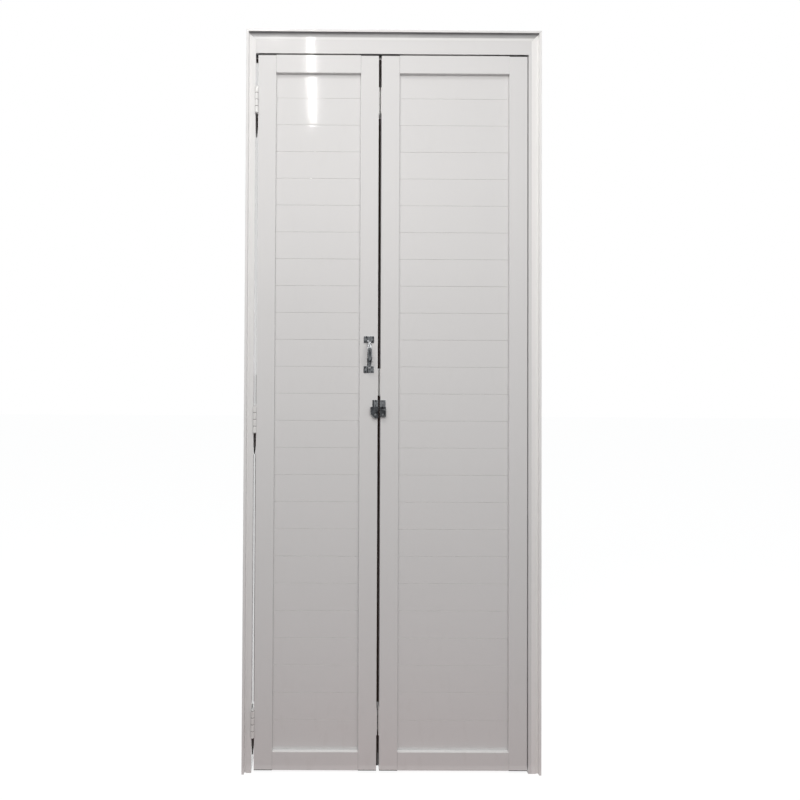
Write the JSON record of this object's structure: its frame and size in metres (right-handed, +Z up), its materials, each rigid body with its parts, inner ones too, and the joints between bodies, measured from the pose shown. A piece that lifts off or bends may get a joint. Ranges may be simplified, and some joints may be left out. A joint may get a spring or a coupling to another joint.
{
  "type": "bifold closet door",
  "caption": "Framed folding closet door: unequal slatted leaves hinged to the jamb and to each other, with a bow pull, a surface latch, mitred casings and a head track.",
  "frame": {"origin": "middle of the doorway at floor level, on the front face of the wall that the casings lie against", "axes": "+X to the closing side, seen from the front; +Y back through the wall; +Z up"},
  "size_m": [0.85, 0.114, 2.125],
  "materials": {
    "white_aluminium": "gloss white powder coat on extruded aluminium",
    "white_steel": "gloss white enamel on pressed steel",
    "hinge_pin": "gloss white enamel on a steel pin",
    "zinc_steel": "bright zinc plate",
    "chrome": "polished chrome plate",
    "chrome_screw": "chrome plated screws",
    "steel_screw": "bright zinc plated screws",
    "mill_aluminium": "mill finish",
    "nylon": "natural nylon",
    "black_plastic": "moulded black plastic",
    "pile": "grey woven pile"
  },
  "bodies": {
    "frame": {"casing_closing_side": "white_aluminium", "casing_head": "white_aluminium", "casing_hinge_side": "white_aluminium", "closing_jamb": "white_aluminium", "closing_strip": "white_aluminium", "frame_corner_angles": "mill_aluminium", "frame_corner_screws": "steel_screw", "head_profile": "white_aluminium", "head_track": "mill_aluminium", "hinge_jamb": "white_aluminium", "jamb_hinge_bottom_frame_leaf": "white_steel", "jamb_hinge_bottom_pin": "hinge_pin", "jamb_hinge_frame_leaf_screws": "steel_screw", "jamb_hinge_middle_frame_leaf": "white_steel", "jamb_hinge_middle_pin": "hinge_pin", "jamb_hinge_top_frame_leaf": "white_steel", "jamb_hinge_top_pin": "hinge_pin"},
    "left_leaf": {"centre_hinge_bottom_left_leaf": "white_steel", "centre_hinge_bottom_pin": "hinge_pin", "centre_hinge_left_leaf_screws": "steel_screw", "centre_hinge_middle_left_leaf": "white_steel", "centre_hinge_middle_pin": "hinge_pin", "centre_hinge_top_left_leaf": "white_steel", "centre_hinge_top_pin": "hinge_pin", "jamb_hinge_bottom_door_leaf": "white_steel", "jamb_hinge_door_leaf_screws": "steel_screw", "jamb_hinge_middle_door_leaf": "white_steel", "jamb_hinge_top_door_leaf": "white_steel", "latch_keeper": "chrome", "left_leaf_assembly_screws": "steel_screw", "left_leaf_bottom_rail": "white_aluminium", "left_leaf_corner_blocks": "mill_aluminium", "left_leaf_end_caps": "black_plastic", "left_leaf_hardware_screws": "chrome_screw", "left_leaf_hinge_stile": "white_aluminium", "left_leaf_meeting_stile": "white_aluminium", "left_leaf_slats": "white_aluminium", "left_leaf_top_rail": "white_aluminium", "left_leaf_top_seal": "pile", "pull_handle": "chrome"},
    "right_leaf": {"centre_hinge_bottom_right_leaf": "white_steel", "centre_hinge_middle_right_leaf": "white_steel", "centre_hinge_right_leaf_screws": "steel_screw", "centre_hinge_top_right_leaf": "white_steel", "guide_bracket": "zinc_steel", "guide_pin": "zinc_steel", "latch_body": "chrome", "right_leaf_assembly_screws": "steel_screw", "right_leaf_bottom_rail": "white_aluminium", "right_leaf_closing_stile": "white_aluminium", "right_leaf_corner_blocks": "mill_aluminium", "right_leaf_end_caps": "black_plastic", "right_leaf_hardware_screws": "chrome_screw", "right_leaf_meeting_stile": "white_aluminium", "right_leaf_slats": "white_aluminium", "right_leaf_top_rail": "white_aluminium", "right_leaf_top_seal": "pile"},
    "latch_bolt": {"latch_bolt": "chrome"},
    "guide_roller": {"guide_roller": "nylon"}
  },
  "joints": [
    {"name": "left_leaf_swing", "type": "hinge", "parent": "frame", "child": "left_leaf", "pos_m": [-0.3945, -0.00998, 1.031], "axis": [0, 0, -1], "range_deg": [0, 85]},
    {"name": "right_leaf_fold", "type": "hinge", "parent": "left_leaf", "child": "right_leaf", "pos_m": [-0.039, 0.02548, 1.031], "axis": [0, 0, 1], "range_deg": [0, 167]},
    {"name": "latch_bolt_slide", "type": "slide", "parent": "right_leaf", "child": "latch_bolt", "axis": [-1, 0, 0], "range_m": [0, 0.009]},
    {"name": "guide_roller_spin", "type": "hinge", "parent": "right_leaf", "child": "guide_roller", "pos_m": [0.336, 0.008, 2.067], "axis": [0, 0, 1], "continuous": true}
  ],
  "couplings": [
    {"joint": "right_leaf_fold", "follows": "left_leaf_swing", "ratio": 1.9615}
  ]
}
